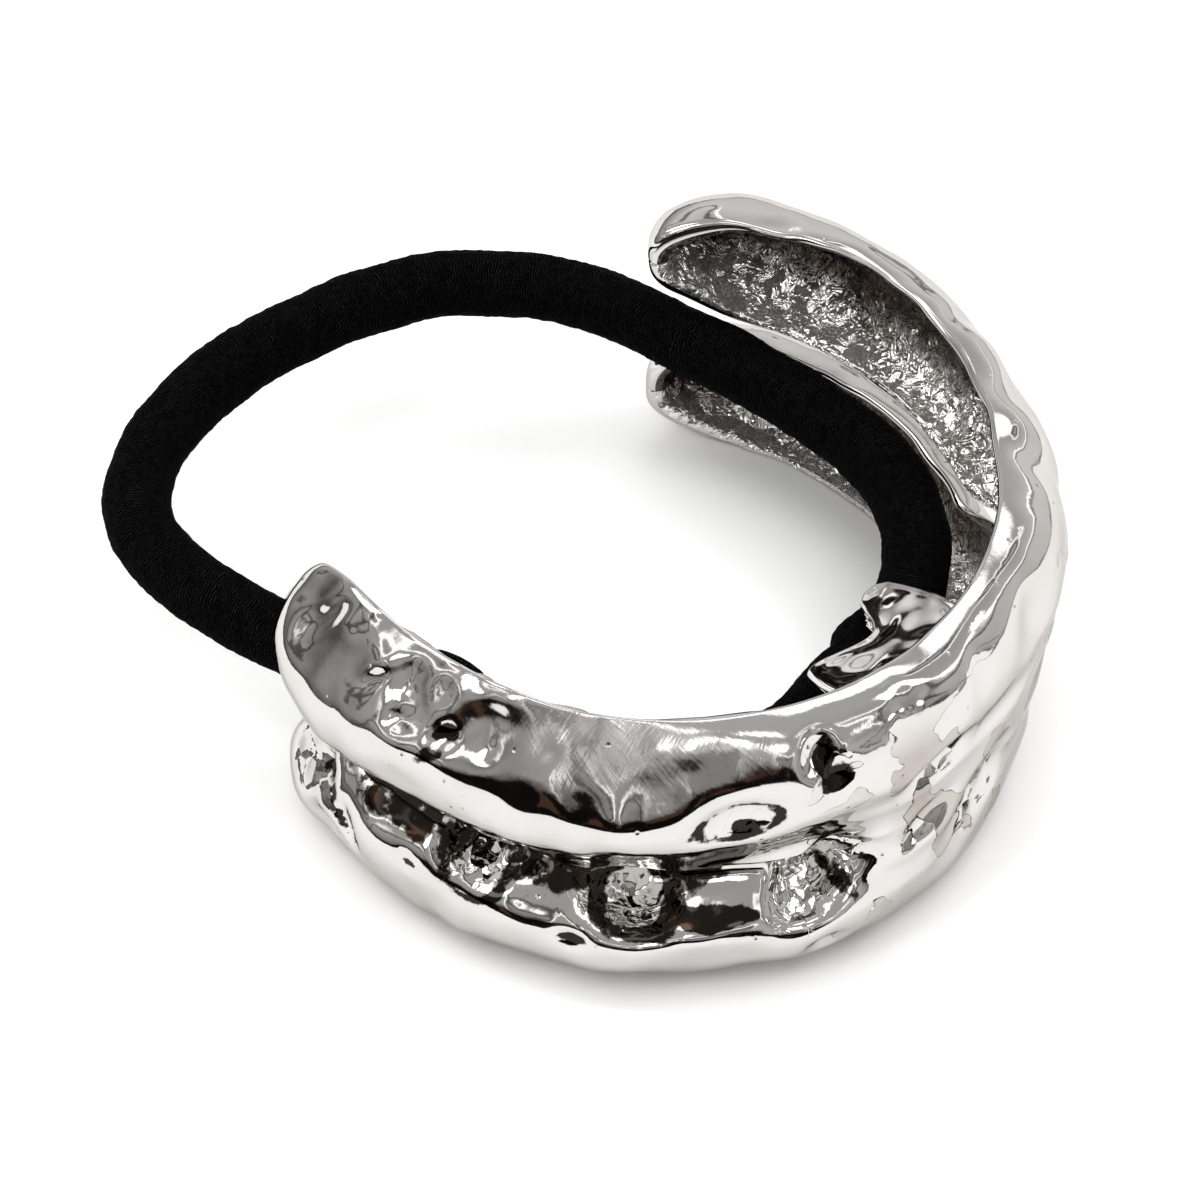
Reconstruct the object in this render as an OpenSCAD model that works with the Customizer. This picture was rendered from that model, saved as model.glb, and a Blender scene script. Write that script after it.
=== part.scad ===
// Ponytail cuff: an open cast metal cuff of two hollow bands, and a round elastic gripped inside it.
// The origin is on the cuff's axis, level with the surface it rests on. The closed middle faces -Y,
// the open side faces +Y and the axis stands upright along Z.

/* [Cuff] */
// Radius of the cuff at its inner rims
cuff_radius = 22; // [20:0.5:28]
// Height of the cuff along its axis
cuff_height = 21.5; // [19:0.5:28]
// How far the bands bulge out past their rims
band_depth = 4.2; // [3.4:0.1:5.5]
// Thickness of the cast wall
wall = 1.1; // [0.8:0.1:1.4]
// Angle left open between the two ends, in degrees
opening_angle = 104; // [90:1:125]
// Length of the rounded tips of the bands
tip_length = 6.5; // [5:0.5:9]
// Width of the slit between the two bands
slit_width = 1.5; // [1:0.1:2.2]
// Angle of the slit at the left end, in degrees
slit_left = 62; // [45:1:75]
// Angle of the slit at the right end, in degrees
slit_right = 88; // [60:1:92]
// How far each side of the slit flares away at the ends
slit_flare = 1.2; // [0.8:0.1:1.5]
// Depth of the deepest dents in the bands
dent_depth = 1.9; // [0.8:0.1:2]

/* [Elastic] */
// Thickness of the round elastic
elastic_thickness = 4.6; // [3.6:0.1:5.2]
// Distance from the cuff's axis to the elastic's far end
elastic_reach = 35; // [30:0.5:45]
// Gap between the elastic and the metal round it
elastic_gap = 0.3; // [0.2:0.05:0.5]

/* [Clamp] */
// Width of the clamp that grips the elastic, where it leaves the wall
clamp_width = 11.2; // [10:0.5:15]
// Thickness of the clamp's tongues
clamp_thickness = 1.1; // [0.8:0.1:1.4]
// How far the elastic's centreline stands off its seat on the rims at the clamp
clamp_stand = 3.2; // [2.5:0.1:3.5]

/* [Hidden] */

steel = [0.80, 0.79, 0.78];
black = [0.05, 0.05, 0.06];

half_cover = 180 - opening_angle / 2;
arc_half = half_cover * PI / 180 * (cuff_radius + band_depth / 2);
body_steps = 76;
band_steps = 11;
tip_turns = [8, 20, 34, 48, 62, 76];
tip_power = 0.7;
bulge_power = 0.8;
// Depth of the groove between the merged bands, as a share of band_depth
groove_share = 0.62;
groove_power = 3;
// Share of the slit's width left as the groove's floor
groove_floor = 0.45;
// Length over which the groove turns into a slit, and where the slit's flare starts
fork_fade = 0.14;
flare_start = 0.84;
// How far a dent fades out, and how soon it fades towards the rims
dent_spread = 1.8;
dent_fade = 2.5;

// Sections along the cuff, from the left end to the right end
// place: share of the half arc. rim, foot: radius of the top and the bottom rim as shares of
// cuff_radius. low, mid, top: heights as shares of cuff_height. lower, upper: depth of the two
// bands as shares of band_depth.
//          place   rim   foot   low    mid    top   lower upper
sections = [[-1.00, 1.02, 1.02, 0.020, 0.440, 0.985, 1.12, 1.20],
            [-0.86, 1.00, 1.00, 0.000, 0.465, 0.985, 1.22, 1.28],
            [-0.70, 0.99, 0.99, 0.000, 0.470, 0.985, 1.28, 1.12],
            [-0.52, 1.01, 1.01, 0.000, 0.460, 0.980, 1.28, 1.20],
            [-0.34, 1.01, 1.01, 0.000, 0.460, 0.975, 1.32, 1.12],
            [-0.16, 1.01, 1.01, 0.000, 0.470, 0.970, 1.18, 1.10],
            [ 0.00, 1.00, 1.00, 0.000, 0.485, 0.975, 0.98, 1.00],
            [ 0.16, 0.99, 0.99, 0.000, 0.490, 0.990, 0.78, 1.10],
            [ 0.34, 0.98, 0.95, 0.000, 0.500, 1.000, 0.80, 1.12],
            [ 0.52, 1.01, 0.95, 0.000, 0.510, 1.000, 0.90, 0.98],
            [ 0.70, 1.05, 1.00, 0.000, 0.515, 0.995, 1.00, 1.14],
            [ 0.86, 1.06, 1.07, 0.000, 0.530, 0.995, 1.10, 1.46],
            [ 1.00, 1.03, 1.08, 0.015, 0.550, 0.990, 1.20, 1.56]];
col_rim = 1;
col_foot = 2;
col_low = 3;
col_mid = 4;
col_top = 5;
col_lower = 6;
col_upper = 7;

// Dents in the outside
// place: share of the half arc. height: share of cuff_height. long, tall: half sizes as shares of
// band_depth. deep: share of dent_depth. lean: turn of the dent in degrees.
//        place  height long  tall  deep  lean
dents = [[-0.90, 0.30, 0.70, 0.45, 0.60,  20],
         [-0.82, 0.14, 0.80, 0.35, 0.45, -30],
         [-0.64, 0.40, 0.60, 0.40, 0.80,   0],
         [-0.74, 0.80, 0.55, 0.50, 0.35,  30],
         [-0.46, 0.38, 0.80, 0.50, 1.00,   0],
         [-0.44, 0.80, 0.60, 0.60, 0.30,   0],
         [-0.21, 0.38, 0.85, 0.60, 1.00,   0],
         [-0.25, 0.16, 0.32, 0.24, 0.50,   0],
         [-0.10, 0.66, 0.70, 0.35, 0.50,  15],
         [-0.03, 0.34, 1.10, 0.50, 0.90,  35],
         [ 0.10, 0.80, 0.50, 0.70, 0.30,  60],
         [ 0.22, 0.36, 0.50, 0.70, 0.40,  60],
         [ 0.34, 0.70, 0.50, 0.80, 0.35,  70],
         [ 0.46, 0.36, 0.50, 0.60, 0.35,  60],
         [ 0.56, 0.78, 0.60, 0.50, 0.40,  20],
         [ 0.74, 0.82, 0.60, 0.45, 0.40,   0],
         [ 0.82, 0.24, 0.60, 0.45, 0.40,   0]];

// Route of the elastic round its closed ring, starting at the clamp
// place: 0 at the clamp, 1 at the cuff's end and 2 at the middle of the open side, with a minus
// sign on the left. stand: share of clamp_stand. reach: share of the way from the seat out to
// elastic_reach. height: share of cuff_height.
//        place  stand  reach  height
route = [[ 0.00, 1.00,  0.00, 0.585],
         [ 0.16, 0.90,  0.00, 0.580],
         [ 0.33, 0.76,  0.00, 0.560],
         [ 0.46, 0.62,  0.00, 0.545],
         [ 0.58, 0.53,  0.00, 0.540],
         [ 0.70, 0.38,  0.00, 0.535],
         [ 0.80, 0.10,  0.00, 0.535],
         [ 0.88, 0.00,  0.07, 0.535],
         [ 0.95, 0.00,  0.17, 0.535],
         [ 1.04, 0.00,  0.33, 0.530],
         [ 1.18, 0.00,  0.50, 0.525],
         [ 1.34, 0.00,  0.66, 0.520],
         [ 1.53, 0.00,  0.81, 0.515],
         [ 1.75, 0.00,  0.91, 0.510],
         [-1.98, 0.00,  1.01, 0.510],
         [-1.78, 0.00,  1.07, 0.505],
         [-1.60, 0.00,  1.07, 0.495],
         [-1.44, 0.00,  0.98, 0.488],
         [-1.29, 0.00,  0.74, 0.485],
         [-1.15, 0.00,  0.48, 0.475],
         [-1.03, 0.00,  0.27, 0.462],
         [-0.93, 0.00,  0.05, 0.456],
         [-0.83, 0.14,  0.00, 0.476],
         [-0.70, 0.45,  0.00, 0.520],
         [-0.54, 0.44,  0.00, 0.545],
         [-0.36, 0.36,  0.00, 0.560],
         [-0.23, 0.56,  0.00, 0.575],
         [-0.11, 1.10,  0.00, 0.585]];

seat_radius = cuff_radius - elastic_gap - elastic_thickness / 2;
ring_steps = 84;
ring_sides = 12;

// Smooth step from 0 to 1
function ease(x) = let (t = min(1, max(0, x))) t * t * (3 - 2 * t);

// Smooth curve through four rows in turn
function curve(a, b, c, d, t) =
    b + t * (c - a) / 2 + t * t * (a - 2.5 * b + 2 * c - d / 2) + t * t * t * (1.5 * (b - c) + (d - a) / 2);

// Row of the sections' table that starts the stretch holding place s
function row_at(s, i = 0) = i >= len(sections) - 2 || s < sections[i + 1][0] ? i : row_at(s, i + 1);

// Value of a column of the sections' table at place s
function section_at(s, col) =
    let (i = row_at(s),
         last = len(sections) - 1,
         t = (s - sections[i][0]) / (sections[i + 1][0] - sections[i][0]))
    curve(sections[max(0, i - 1)][col], sections[i][col], sections[i + 1][col],
          sections[min(last, i + 2)][col], t);

// Where the slits end, and how far a place is forked
function fork_at(s) = 1 - (s < 0 ? slit_left : slit_right) / half_cover;
function forked(s) = ease((abs(s) - fork_at(s)) / fork_fade);
function flared(s) = ease((abs(s) - flare_start) / (1 - flare_start));
function merged(s) = abs(s) < fork_at(s);

// Depth of all dents at place s and height z
function dent(s, z) =
    dent_depth * max([for (d = dents)
        let (along = (s - d[0]) * arc_half,
             up = z - d[1] * cuff_height,
             x = (along * cos(d[5]) + up * sin(d[5])) / (d[2] * band_depth),
             y = (up * cos(d[5]) - along * sin(d[5])) / (d[3] * band_depth),
             far = x * x + y * y)
        d[4] * (far < dent_spread ? pow(1 - far / dent_spread, 2) : 0)]);

// A column is a place along the arc with the size of the band there
// Each is [share of the half arc, share of the full section, share of the full depth]
function tip_columns(side, cut) = [for (i = [0 : len(tip_turns) - 1])
    [side * (1 - (cut + (tip_length - cut) * (1 - cos(tip_turns[i]))) / arc_half),
     sin(tip_turns[i]), i == 0 ? 0 : pow(sin(tip_turns[i]), tip_power)]];
function columns(cut) =
    let (end = 1 - tip_length / arc_half,
         left = tip_columns(-1, cut),
         right = tip_columns(1, cut))
    concat(left,
           [for (i = [0 : body_steps]) [end * (2 * i / body_steps - 1), 1, 1]],
           [for (i = [len(right) - 1 : -1 : 0]) right[i]]);

// Point of one band, 0 below and 1 above, at turn q from its lower to its upper edge
// shell is 0 on the outside and 1 on the inside
function band_point(c, band, q, shell) =
    let (s = c[0],
         inset = shell * wall,
         split = slit_width / 2 * (groove_floor + (1 - groove_floor) * forked(s)) + slit_flare * flared(s),
         mid = section_at(s, col_mid) * cuff_height,
         low = band == 0 ? section_at(s, col_low) * cuff_height : mid + split,
         high = band == 0 ? mid - split : section_at(s, col_top) * cuff_height,
         deep = (section_at(s, band == 0 ? col_lower : col_upper) * band_depth - inset) * c[2],
         half = ((high - low) / 2 - inset) * c[1],
         edge = pow(max(0, band == 0 ? sin(q) : -sin(q)), groove_power),
         groove = (groove_share * band_depth - inset) * (1 - forked(s)) * edge,
         z = (low + high) / 2 + half * sin(q),
         foot = section_at(s, col_foot),
         rim = cuff_radius * (foot + (section_at(s, col_rim) - foot) * z / cuff_height),
         bulge = groove + (deep - groove) * pow(max(0, cos(q)), bulge_power),
         sunk = dent(s, z) * c[2] * ease(bulge / band_depth * dent_fade),
         r = rim + max(0, bulge - sunk),
         a = s * half_cover)
    [r * sin(a), -r * cos(a), z];

function shell_points(shell) = [for (c = columns(shell * wall))
    for (band = [0, 1])
        for (j = [0 : band_steps])
            band_point(c, band, -90 + 180 * j / band_steps, shell)];

// Four corners as two triangles
function quad(a, b, c, d) = [[a, b, c], [a, c, d]];
function flat_list(lists) = [for (l = lists) for (e = l) e];

module wall_solid() {
    outside = shell_points(0);
    inside = shell_points(1);
    places = [for (c = columns(0)) c[0]];
    cols = len(places);
    rows = 2 * (band_steps + 1);
    shift = cols * rows;
    gap = band_steps;
    // A cell is present unless it lies in a slit
    solid_cell = [for (i = [0 : cols - 2]) merged(places[i]) && merged(places[i + 1])];
    skins = flat_list([for (i = [0 : cols - 2]) flat_list([for (j = [0 : rows - 2])
        j == gap && !solid_cell[i] ? [] :
        let (a = i * rows + j, b = a + 1, c = a + rows + 1, d = a + rows)
        concat(quad(a, b, c, d), quad(shift + a, shift + d, shift + c, shift + b))])]);
    rims = flat_list([for (i = [0 : cols - 2]) flat_list([for (j = [0, gap, gap + 1, rows - 1])
        (j == gap || j == gap + 1) && solid_cell[i] ? [] :
        let (a = i * rows + j, d = a + rows)
        j == 0 || j == gap + 1 ? quad(a, d, shift + d, shift + a) : quad(d, a, shift + a, shift + d)])]);
    ends = flat_list([for (j = [0 : rows - 2])
        j == gap ? [] :
        let (a = j, b = (cols - 1) * rows + j)
        concat(quad(a + 1, a, shift + a, shift + a + 1), quad(b, b + 1, shift + b + 1, shift + b))]);
    slit_ends = flat_list([for (i = [1 : cols - 2])
        let (a = i * rows + gap)
        solid_cell[i] && !solid_cell[i - 1] ? quad(a + 1, a, shift + a, shift + a + 1) :
        !solid_cell[i] && solid_cell[i - 1] ? quad(a, a + 1, shift + a + 1, shift + a) : []]);
    polyhedron(concat(outside, inside), concat(skins, rims, ends, slit_ends), convexity = 12);
}

// Free edge of a clamp tongue: place across it from left to right, and reach as a share of the
// way from the wall to the tangent point on the elastic
//            across reach
tongue_edge = [[-1.00, 0.60],
               [-0.78, 0.62],
               [-0.56, 0.58],
               [-0.16, 0.54],
               [ 0.02, 0.60],
               [ 0.12, 0.72],
               [ 0.24, 0.90],
               [ 0.45, 0.97],
               [ 0.70, 0.95],
               [ 1.00, 0.88]];
tongue_steps = 6;
// Turn of the clamp's middle from the cuff's middle, and how far its two sides lean to the right
tongue_turn = -12;
lean_left = 0.66;
lean_right = 0.88;
lean_power = 2.5;
// How far a tongue longer than its tangent point curls on round the elastic, in degrees
tongue_curl = 60;
lower_length = 1.3;
grip_radius = elastic_thickness / 2 + elastic_gap;
held = [seat_radius - clamp_stand, route[0][3] * cuff_height];

// Point [radius, height] inside the wall where a tongue starts, at angle at
function tongue_root(side, at) =
    let (p = band_point([at / half_cover, 1, 1], 0, 90, 0.5))
    side > 0 ? [cuff_radius + 0.8 * wall, section_at(0, col_top) * cuff_height - 1.1 * wall]
             : [norm([p[0], p[1]]), p[2]];

// Point [radius, height] under or over a tongue at reach v. side is 1 over the elastic, -1 under it
function tongue_line(root, side, v, over) =
    let (to_root = root - held,
         far = norm(to_root),
         curl = tongue_curl * max(0, v - 1),
         turn = atan2(to_root[1], to_root[0]) + side * (acos(grip_radius / far) + curl),
         out = [cos(turn), sin(turn)],
         near = held + grip_radius * out,
         start = v > 1 ? near : root)
    start + (v > 1 ? 0 : v) * (near - start) + over * clamp_thickness * out;

module tongue(side, length) {
    half = clamp_width / 2 / cuff_radius * 180 / PI;
    rows = tongue_steps + 1;
    count = len(tongue_edge);
    points = [for (over = [0, 1]) for (e = tongue_edge) for (k = [0 : tongue_steps])
        let (v = k / tongue_steps * e[1] * length,
             left = -1 + lean_left * pow(min(v, 1), lean_power),
             right = 1 + lean_right * min(v, 1),
             at = tongue_turn + half * (left + (right - left) * (e[0] + 1) / 2),
             root = tongue_root(side, tongue_turn + half * e[0]),
             p = tongue_line(root, side, v, over))
        [p[0] * sin(at), -p[0] * cos(at), p[1]]];
    shift = count * rows;
    skins = flat_list([for (i = [0 : count - 2]) flat_list([for (k = [0 : rows - 2])
        let (a = i * rows + k, d = a + rows)
        concat(quad(a, a + 1, d + 1, d), quad(shift + a, shift + d, shift + d + 1, shift + a + 1))])]);
    edges = flat_list([for (i = [0 : count - 2]) for (k = [0, rows - 1])
        let (a = i * rows + k, d = a + rows)
        k == 0 ? quad(a, d, shift + d, shift + a) : quad(d, a, shift + a, shift + d)]);
    sides = flat_list([for (k = [0 : rows - 2]) for (i = [0, count - 1])
        let (a = i * rows + k)
        i == 0 ? quad(a + 1, a, shift + a, shift + a + 1) : quad(a, a + 1, shift + a + 1, shift + a)]);
    faces = concat(skins, edges, sides);
    polyhedron(points, side < 0 ? faces : [for (f = faces) [f[2], f[1], f[0]]], convexity = 6);
}

module clamp() {
    tongue(1, 1);
    tongue(-1, lower_length);
}

module cuff() {
    color(steel) union() {
        wall_solid();
        clamp();
    }
}

function route_at(i) = route[(i + 2 * len(route)) % len(route)];
function route_point(r) =
    let (p = abs(r[0]),
         a = p <= 1 ? p * half_cover : half_cover + (p - 1) * (180 - half_cover),
         turn = r[0] < 0 ? -a : a,
         out = seat_radius - clamp_stand * r[1] + (elastic_reach - seat_radius) * r[2])
    [out * sin(turn), -out * cos(turn), r[3] * cuff_height];
function route_curve(t) =
    let (i = floor(t), p = [for (k = [-1 : 2]) route_point(route_at(i + k))])
    curve(p[0], p[1], p[2], p[3], t - i);

module elastic_band() {
    points = [for (i = [0 : ring_steps - 1])
        let (t = i * len(route) / ring_steps,
             at = route_curve(t),
             way = route_curve(t + 0.02) - route_curve(t - 0.02),
             side = cross(way, [0, 0, 1]) / norm(cross(way, [0, 0, 1])),
             up = cross(side, way) / norm(cross(side, way)))
        for (j = [0 : ring_sides - 1])
            let (q = 360 * j / ring_sides)
            at + elastic_thickness / 2 * (cos(q) * side + sin(q) * up)];
    faces = flat_list([for (i = [0 : ring_steps - 1]) flat_list([for (j = [0 : ring_sides - 1])
        let (n = (i + 1) % ring_steps, k = (j + 1) % ring_sides)
        quad(i * ring_sides + j, i * ring_sides + k, n * ring_sides + k, n * ring_sides + j)])]);
    color(black) polyhedron(points, faces, convexity = 6);
}

cuff();
elastic_band();
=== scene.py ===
import math

import bpy
import numpy as np
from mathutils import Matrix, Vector, kdtree, noise


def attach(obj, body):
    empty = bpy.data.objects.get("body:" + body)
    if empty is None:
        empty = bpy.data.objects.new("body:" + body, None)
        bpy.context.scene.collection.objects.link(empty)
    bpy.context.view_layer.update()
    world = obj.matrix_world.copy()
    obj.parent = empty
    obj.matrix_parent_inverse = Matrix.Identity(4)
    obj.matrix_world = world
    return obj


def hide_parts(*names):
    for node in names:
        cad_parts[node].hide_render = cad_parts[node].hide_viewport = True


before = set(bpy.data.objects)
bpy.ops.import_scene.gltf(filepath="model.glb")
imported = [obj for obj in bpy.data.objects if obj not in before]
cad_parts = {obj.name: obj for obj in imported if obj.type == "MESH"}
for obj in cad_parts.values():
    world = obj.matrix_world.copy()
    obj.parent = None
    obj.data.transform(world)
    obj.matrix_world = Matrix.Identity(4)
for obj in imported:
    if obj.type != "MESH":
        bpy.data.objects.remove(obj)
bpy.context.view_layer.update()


class Wire:
    # a shader socket that takes part in sums, so that 1 - mask adds its own Math node
    def __init__(self, tree, socket=None):
        self.tree = tree
        self.socket = socket

    def node(self, kind, settings=None, inputs=None, out=0):
        made = self.tree.nodes.new(kind)
        for name, value in (settings or {}).items():
            setattr(made, name, value)
        for name, value in (inputs or {}).items():
            if isinstance(value, Wire):
                self.tree.links.new(value.socket, made.inputs[name])
            else:
                made.inputs[name].default_value = value
        return Wire(self.tree, made.outputs[out])

    def also(self, out):
        # another output of the same node
        return Wire(self.tree, self.socket.node.outputs[out])

    def sum(self, operation, *terms):
        return self.node("ShaderNodeMath", {"operation": operation}, dict(enumerate(terms)))

    def vector(self, operation, *terms):
        return self.node("ShaderNodeVectorMath", {"operation": operation}, dict(enumerate(terms)))

    def __add__(self, other):
        return self.sum("ADD", self, other)

    def __radd__(self, other):
        return self.sum("ADD", other, self)

    def __sub__(self, other):
        return self.sum("SUBTRACT", self, other)

    def __rsub__(self, other):
        return self.sum("SUBTRACT", other, self)

    def __mul__(self, other):
        return self.sum("MULTIPLY", self, other)

    def __rmul__(self, other):
        return self.sum("MULTIPLY", other, self)

    def __truediv__(self, other):
        return self.sum("DIVIDE", self, other)

    def __pow__(self, other):
        return self.sum("POWER", self, other)

    def __abs__(self):
        return self.sum("ABSOLUTE", self)

    def between(self, low, high):
        # 0 below low, 1 above high, smooth in between
        return self.node("ShaderNodeMapRange", {"interpolation_type": "SMOOTHSTEP"},
                         {"Value": self, "From Min": low, "From Max": high})

    def mixColour(self, first, second):
        # this value is the share of the second colour
        made = self.tree.nodes.new("ShaderNodeMix")
        made.data_type = "RGBA"
        self.tree.links.new(self.socket, made.inputs[0])
        for place, value in ((6, first), (7, second)):
            if isinstance(value, Wire):
                self.tree.links.new(value.socket, made.inputs[place])
            else:
                made.inputs[place].default_value = (*value, 1)
        return Wire(self.tree, made.outputs[2])

    def dot(self, other):
        return self.node("ShaderNodeVectorMath", {"operation": "DOT_PRODUCT"}, {0: self, 1: other}, out=1)

    def cloudy(self, scale, detail, **more):
        # noise read at this place
        return self.node("ShaderNodeTexNoise", {}, {"Vector": self, "Scale": scale, "Detail": detail, **more})

    def bump(self, distance, under=None):
        # the normal as this height bumps it, over another bump
        inputs = {"Height": self, "Distance": distance}
        if under is not None:
            inputs["Normal"] = under
        return self.node("ShaderNodeBump", {}, inputs)

    def stretched(self, scale, turn):
        # turned first, then stretched
        turned = self.node("ShaderNodeMapping", {}, {"Vector": self, "Rotation": (0, 0, turn)})
        return self.node("ShaderNodeMapping", {}, {"Vector": turned, "Scale": scale})


def startMaterial(name, constants):
    # a new material with one Principled shader; constants are set on its own sockets
    material = bpy.data.materials.new(name)
    material.use_nodes = True
    tree = material.node_tree
    tree.nodes.clear()
    shader = tree.nodes.new("ShaderNodeBsdfPrincipled")
    for socket, value in constants.items():
        shader.inputs[socket].default_value = value
    output = tree.nodes.new("ShaderNodeOutputMaterial")
    tree.links.new(shader.outputs[0], output.inputs["Surface"])
    return material, Wire(tree), shader


def feed(tools, shader, **links):
    for name, wire in links.items():
        tools.tree.links.new(wire.socket, shader.inputs[name.replace("_", " ")])


def clearSelection():
    if bpy.context.object and bpy.context.object.mode != "OBJECT":
        bpy.ops.object.mode_set(mode="OBJECT")
    bpy.ops.object.select_all(action="DESELECT")


def pickOnly(piece):
    clearSelection()
    piece.select_set(True)
    bpy.context.view_layer.objects.active = piece


def readPoints(piece):
    flat = np.empty(len(piece.data.vertices) * 3)
    piece.data.vertices.foreach_get("co", flat)
    return flat.reshape(-1, 3)


def readNormals(piece):
    piece.data.update()
    flat = np.empty(len(piece.data.vertices) * 3)
    piece.data.vertices.foreach_get("normal", flat)
    return flat.reshape(-1, 3)


def movePoints(piece, points):
    piece.data.vertices.foreach_set("co", np.asarray(points, float).ravel())
    piece.data.update()


def applyModifier(piece, kind, **settings):
    pickOnly(piece)
    made = piece.modifiers.new(kind.lower(), kind)
    for name, value in settings.items():
        setattr(made, name, value)
    bpy.ops.object.modifier_apply(modifier=made.name)


def addMark(piece, name, values):
    # a value at each vertex that a material reads by this name
    made = piece.data.attributes.new(name, "FLOAT", "POINT")
    made.data.foreach_set("value", np.asarray(values, np.float32))


def lengthUv(piece, along, across):
    # a flat map in real lengths, in metres
    corner = np.empty(len(piece.data.loops), int)
    piece.data.loops.foreach_get("vertex_index", corner)
    flat = np.stack([along[corner], across[corner]], -1)
    piece.data.uv_layers.active.data.foreach_set("uv", flat.ravel())


def giveWall(piece, outer, inner, **settings):
    # Solidify doubles the sheet, then each face of the wall takes its own points
    applyModifier(piece, "SOLIDIFY", offset=-1, **settings)
    movePoints(piece, np.concatenate([outer, inner]))


def closeSeams(piece, nearest):
    # joins what lies together along the rims, and smooths the shading
    pickOnly(piece)
    bpy.ops.object.mode_set(mode="EDIT")
    bpy.ops.mesh.select_all(action="SELECT")
    bpy.ops.mesh.remove_doubles(threshold=nearest)
    bpy.ops.object.mode_set(mode="OBJECT")
    bpy.ops.object.shade_smooth()


def eased(x, low=0, high=1):
    # 0 below low, 1 above high, smooth in between
    x = np.clip((x - low) / (high - low), 0, 1)
    return x * x * (3 - 2 * x)


def cubic(a, b, c, d, t):
    # a smooth curve through b and c, with a and d as the points before and after
    square, cube = a - 2.5 * b + 2 * c - d / 2, 1.5 * (b - c) + (d - a) / 2
    return b + t * (c - a) / 2 + t * t * square + t ** 3 * cube


def flowing(table, place, column):
    # a column of the table, read at any place along a smooth curve through its rows
    rows = np.array(table, float)
    last = len(rows) - 1
    i = np.clip(np.searchsorted(rows[:, 0], place, side="right") - 1, 0, last - 1)
    t = (place - rows[i, 0]) / (rows[i + 1, 0] - rows[i, 0])
    value = rows[:, column]
    return cubic(value[np.maximum(i - 1, 0)], value[i], value[i + 1], value[np.minimum(i + 2, last)], t)


def ovalFar(x, y, long, tall, lean):
    # squared distance from the middle of an oval, 1 on its outline
    c, s = math.cos(math.radians(lean)), math.sin(math.radians(lean))
    return ((x * c + y * s) / long) ** 2 + ((y * c - x * s) / tall) ** 2


def lumps(points, size, seed):
    # soft random swelling, about -1 to 1, with features of that size
    shift = Vector((seed * 13.7, seed * 7.3, seed * 3.1))
    return np.array([noise.noise(Vector(p) / size + shift) for p in points]) * 1.6


def cracks(points, size, seed):
    # 0 along the borders of random cells, rising towards their middles
    shift = Vector((seed * 5.1, seed * 9.7, seed * 2.3))
    out = np.empty(len(points))
    for k, p in enumerate(points):
        far = noise.voronoi(Vector(p) / size + shift)[0]
        out[k] = far[1] - far[0]
    return out


def rimProfile(points, edgePoints, roundness):
    # 0 at the edge of a sheet and 1 from that roundness inwards, as a quarter circle,
    # and the distance of each point from the edge
    tree = kdtree.KDTree(len(edgePoints))
    for k, p in enumerate(edgePoints):
        tree.insert(p, k)
    tree.balance()
    far = np.array([tree.find(p)[2] for p in points])
    return np.sqrt(np.maximum(0, 1 - (1 - np.clip(far / roundness, 0, 1)) ** 2)), far


# the camera that took the photograph
shot = {
    "azimuth": 306, "elevation": 46, "distance": 0.32,
    "target": (-0.003646, 0.002296, 0.010), "lens": 145.92,
}

turn, tilt = math.radians(shot["azimuth"]), math.radians(shot["elevation"])
backward = Vector((math.sin(turn) * math.cos(tilt), -math.cos(turn) * math.cos(tilt), math.sin(tilt)))
clearSelection()
bpy.ops.object.camera_add(location=Vector(shot["target"]) + backward * shot["distance"])
camera = bpy.context.object
camera.name = "camera"
camera.rotation_euler = (-backward).to_track_quat("-Z", "Y").to_euler()
camera.data.sensor_width = 36
camera.data.lens = shot["lens"]
camera.data.clip_start, camera.data.clip_end = 0.01, 20
bpy.context.scene.camera = camera
print("camera placed")


# greys of the room as the metal sees them, and the paper below
studio = {
    "left": (0.49, 0.482, 0.470), "right": (0.66, 0.652, 0.64), "far": (0.92, 0.915, 0.905),
    "high": (0.50, 0.495, 0.487), "top": (0.57, 0.567, 0.56),
    "black": (0.006, 0.005, 0.0045), "brown": (0.080, 0.044, 0.029), "cloudShare": 0.40,
    "darkTurn": -12, "darkHigh": 0.38, "lineBright": 1.5, "lineShare": 0.75, "ragged": 0.26,
    "cloudFine": 2.6, "raggedFine": 4.0, "brownFine": 5.5, "lineFine": 1.7,
    "floorColour": (0.93, 0.93, 0.93), "floorSize": 6,
    "lampHeight": 2.5, "lampSize": 3.4, "lampBright": 1.25,
}
# each soft box: turn from the camera round the object, elevation, half width, half height, brightness, lean
boxes = {
    "key": (166, 58, 17, 10, 1.9, 0),
    "leftBox": (-112, 48, 6, 15, 6.0, 12),
    "cornerBox": (-55, 47, 5, 13, 6.0, -10),
    "frontBox": (8, 48, 9, 4.5, 4.5, 0),
    "overBox": (-20, 72, 15, 4, 3.0, 0),
    "rightBox": (95, 53, 5, 12, 4.5, 0),
    "lowBox": (66, 21, 3, 5, 4.5, 0),
}

scene = bpy.context.scene
scene.view_settings.view_transform = "Standard"
scene.view_settings.look = "None"


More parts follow.
